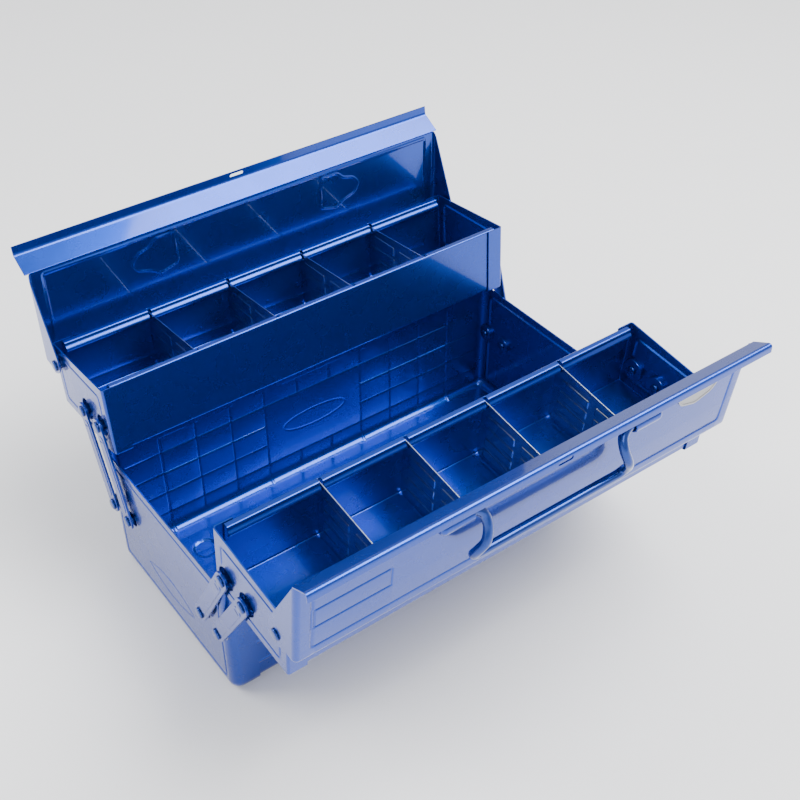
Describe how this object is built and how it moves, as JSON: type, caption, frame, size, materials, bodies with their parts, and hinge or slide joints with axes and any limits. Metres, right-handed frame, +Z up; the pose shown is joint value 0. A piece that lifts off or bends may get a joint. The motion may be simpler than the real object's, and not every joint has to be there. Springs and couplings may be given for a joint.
{
  "type": "toolbox with tray",
  "caption": "Pressed steel cantilever toolbox standing open: trays with lift-out dividers ride on pairs of links over a deep base, each under a hinged lid with a folding carrying handle.",
  "frame": {"origin": "middle of the base's underside, on the surface that the box stands on", "axes": "+X along the box, -Y towards the front, +Y towards the rear, +Z up"},
  "size_m": [0.3638, 0.3784, 0.2303],
  "materials": {
    "body": "glossy metallic blue paint",
    "link": "glossy metallic blue paint",
    "rivet": "glossy dark blue paint",
    "handle": "glossy dark blue paint",
    "divider": "bright zinc plate",
    "badge": "satin silver"
  },
  "bodies": {
    "base": {"base_shell": "body", "base_end_left": "body", "base_end_right": "body", "front_outer_link_left_base_rivet": "rivet", "front_outer_link_right_base_rivet": "rivet", "front_inner_link_left_base_rivet": "rivet", "front_inner_link_right_base_rivet": "rivet", "rear_outer_link_left_base_rivet": "rivet", "rear_outer_link_right_base_rivet": "rivet", "rear_inner_link_left_base_rivet": "rivet", "rear_inner_link_right_base_rivet": "rivet"},
    "front_outer_links": {"front_outer_link_left": "link", "front_outer_link_right": "link"},
    "front_inner_links": {"front_inner_link_left": "link", "front_inner_link_right": "link"},
    "front_tray": {"front_tray_shell": "body", "front_tray_end_left": "body", "front_tray_end_right": "body", "front_outer_link_left_tray_rivet": "rivet", "front_outer_link_right_tray_rivet": "rivet", "front_inner_link_left_tray_rivet": "rivet", "front_inner_link_right_tray_rivet": "rivet", "front_lid_rivet_left": "rivet", "front_lid_rivet_right": "rivet"},
    "front_lid_body": {"front_lid": "body", "front_handle_bracket_left": "body", "front_handle_bracket_right": "body", "front_lid_badge": "badge"},
    "front_handle_body": {"front_handle": "handle"},
    "front_divider_1_body": {"front_divider_1": "divider"},
    "front_divider_2_body": {"front_divider_2": "divider"},
    "front_divider_3_body": {"front_divider_3": "divider"},
    "front_divider_4_body": {"front_divider_4": "divider"},
    "rear_outer_links": {"rear_outer_link_left": "link", "rear_outer_link_right": "link"},
    "rear_inner_links": {"rear_inner_link_left": "link", "rear_inner_link_right": "link"},
    "rear_tray": {"rear_tray_shell": "body", "rear_tray_end_left": "body", "rear_tray_end_right": "body", "rear_outer_link_left_tray_rivet": "rivet", "rear_outer_link_right_tray_rivet": "rivet", "rear_inner_link_left_tray_rivet": "rivet", "rear_inner_link_right_tray_rivet": "rivet", "rear_lid_rivet_left": "rivet", "rear_lid_rivet_right": "rivet"},
    "rear_lid_body": {"rear_lid": "body", "rear_handle_bracket_left": "body", "rear_handle_bracket_right": "body"},
    "rear_handle_body": {"rear_handle": "handle"},
    "rear_divider_1_body": {"rear_divider_1": "divider"},
    "rear_divider_2_body": {"rear_divider_2": "divider"},
    "rear_divider_3_body": {"rear_divider_3": "divider"},
    "rear_divider_4_body": {"rear_divider_4": "divider"}
  },
  "joints": [
    {"name": "front_swing", "type": "hinge", "parent": "base", "child": "front_outer_links", "pos_m": [0, -0.0755, 0.06], "axis": [1, 0, 0], "range_deg": [-62, 0]},
    {"name": "front_tray_tilt", "type": "hinge", "parent": "front_outer_links", "child": "front_tray", "pos_m": [0, -0.11639, 0.12433], "axis": [1, 0, 0], "range_deg": [0, 57.33]},
    {"name": "front_inner_swing", "type": "hinge", "parent": "base", "child": "front_inner_links", "pos_m": [0, -0.053, 0.06], "axis": [1, 0, 0], "range_deg": [-61.3, 0]},
    {"name": "front_lid_hinge", "type": "hinge", "parent": "front_tray", "child": "front_lid_body", "pos_m": [0, -0.1568, 0.13878], "axis": [1, 0, 0], "range_deg": [-91.5, 0]},
    {"name": "front_handle_swing", "type": "hinge", "parent": "front_lid_body", "child": "front_handle_body", "pos_m": [0, -0.18951, 0.19558], "axis": [-1, 0, 0], "range_deg": [-9.18, 93.82]},
    {"name": "front_divider_1_lift", "type": "slide", "parent": "front_tray", "child": "front_divider_1_body", "axis": [0, -0.0816, 0.9967], "range_m": [0, 0.06]},
    {"name": "front_divider_2_lift", "type": "slide", "parent": "front_tray", "child": "front_divider_2_body", "axis": [0, -0.0816, 0.9967], "range_m": [0, 0.06]},
    {"name": "front_divider_3_lift", "type": "slide", "parent": "front_tray", "child": "front_divider_3_body", "axis": [0, -0.0816, 0.9967], "range_m": [0, 0.06]},
    {"name": "front_divider_4_lift", "type": "slide", "parent": "front_tray", "child": "front_divider_4_body", "axis": [0, -0.0816, 0.9967], "range_m": [0, 0.06]},
    {"name": "rear_swing", "type": "hinge", "parent": "base", "child": "rear_outer_links", "pos_m": [0, 0.0755, 0.06], "axis": [-1, 0, 0], "range_deg": [-49, 13]},
    {"name": "rear_tray_tilt", "type": "hinge", "parent": "rear_outer_links", "child": "rear_tray", "pos_m": [0, 0.10087, 0.13187], "axis": [-1, 0, 0], "range_deg": [-12.03, 45.31]},
    {"name": "rear_inner_swing", "type": "hinge", "parent": "base", "child": "rear_inner_links", "pos_m": [0, 0.053, 0.06], "axis": [-1, 0, 0], "range_deg": [-48.57, 12.89]},
    {"name": "rear_lid_hinge", "type": "hinge", "parent": "rear_tray", "child": "rear_lid_body", "pos_m": [0, 0.14103, 0.14701], "axis": [-1, 0, 0], "range_deg": [-86, 6]},
    {"name": "rear_handle_swing", "type": "hinge", "parent": "rear_lid_body", "child": "rear_handle_body", "pos_m": [0, 0.16712, 0.20715], "axis": [1, 0, 0], "range_deg": [-2.7, 100.3]},
    {"name": "rear_divider_1_lift", "type": "slide", "parent": "rear_tray", "child": "rear_divider_1_body", "axis": [0, 0.0645, 0.9979], "range_m": [0, 0.06]},
    {"name": "rear_divider_2_lift", "type": "slide", "parent": "rear_tray", "child": "rear_divider_2_body", "axis": [0, 0.0645, 0.9979], "range_m": [0, 0.06]},
    {"name": "rear_divider_3_lift", "type": "slide", "parent": "rear_tray", "child": "rear_divider_3_body", "axis": [0, 0.0645, 0.9979], "range_m": [0, 0.06]},
    {"name": "rear_divider_4_lift", "type": "slide", "parent": "rear_tray", "child": "rear_divider_4_body", "axis": [0, 0.0645, 0.9979], "range_m": [0, 0.06]}
  ],
  "couplings": [
    {"joint": "front_tray_tilt", "follows": "front_swing", "ratio": -0.9245},
    {"joint": "front_inner_swing", "follows": "front_swing", "ratio": 0.98863},
    {"joint": "rear_tray_tilt", "follows": "rear_swing", "ratio": -0.9245},
    {"joint": "rear_inner_swing", "follows": "rear_swing", "ratio": 0.99099}
  ]
}
